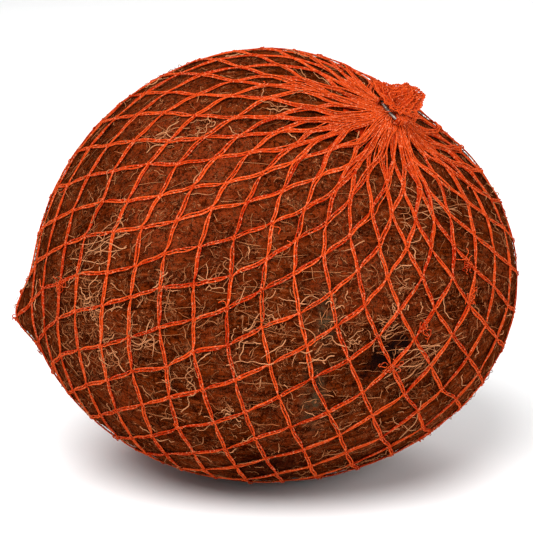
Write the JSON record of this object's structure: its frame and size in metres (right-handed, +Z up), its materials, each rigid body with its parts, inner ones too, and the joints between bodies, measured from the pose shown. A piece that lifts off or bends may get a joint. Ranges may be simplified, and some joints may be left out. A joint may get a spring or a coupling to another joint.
{
  "type": "netted coconut",
  "caption": "Dehusked coconut with a pointed stalk end, drawn into a diamond-mesh net bag that is gathered and clipped at both ends.",
  "frame": {"origin": "middle of the bounding box's underside, on the surface that the coconut rests on", "axes": "+X from the pointed stalk end towards the blunt end, +Z up, +Y to the back"},
  "size_m": [0.1222, 0.1058, 0.1023],
  "materials": {
    "husk": "dry brown coconut fibre, matte, with loose curled fibres",
    "net": "knitted polyethylene yarn, orange-red, slightly glossy",
    "clip_wire": "dull bent wire"
  },
  "bodies": {
    "root": {"coconut": "husk", "net": "net", "top_clip": "clip_wire", "bottom_clip": "clip_wire"}
  },
  "joints": []
}
